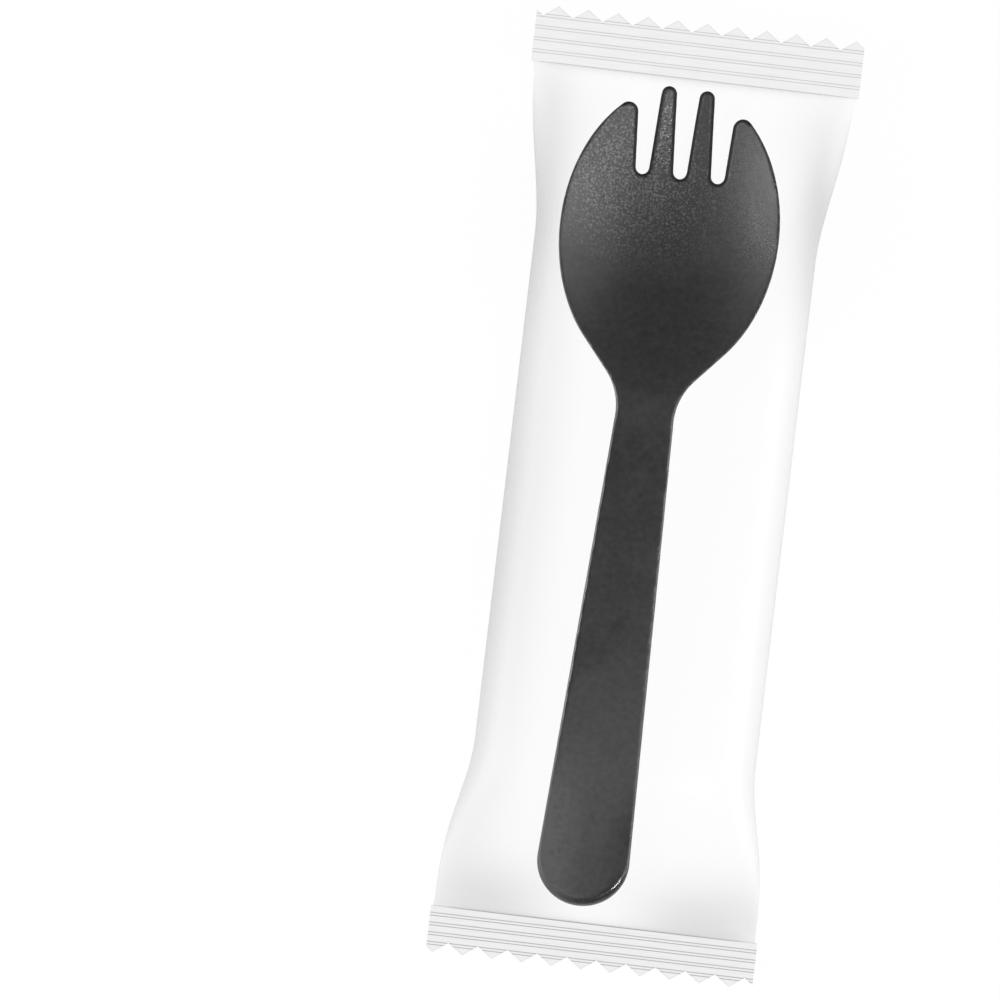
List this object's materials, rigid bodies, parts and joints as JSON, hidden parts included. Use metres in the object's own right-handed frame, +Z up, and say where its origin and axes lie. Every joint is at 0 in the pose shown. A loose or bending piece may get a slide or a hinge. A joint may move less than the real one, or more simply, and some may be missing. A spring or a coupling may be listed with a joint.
{
  "type": "wrapped disposable spork pack",
  "caption": "Disposable black plastic spork sealed in a clear crimped film pack with zigzag-cut ends.",
  "frame": {"origin": "middle of the pack's footprint, on the surface that its back lies on", "axes": "+Z up through the pack, +Y along the pack towards the tines, +X across it"},
  "size_m": [0.064, 0.1856, 0.0176],
  "materials": {
    "clear_film": "clear thin film, glossy, with frosted crimped seals",
    "black_plastic": "satin moulded plastic with a fine pebble grain"
  },
  "bodies": {
    "root": {"film_wrapper": "clear_film", "spork": "black_plastic"}
  },
  "joints": []
}
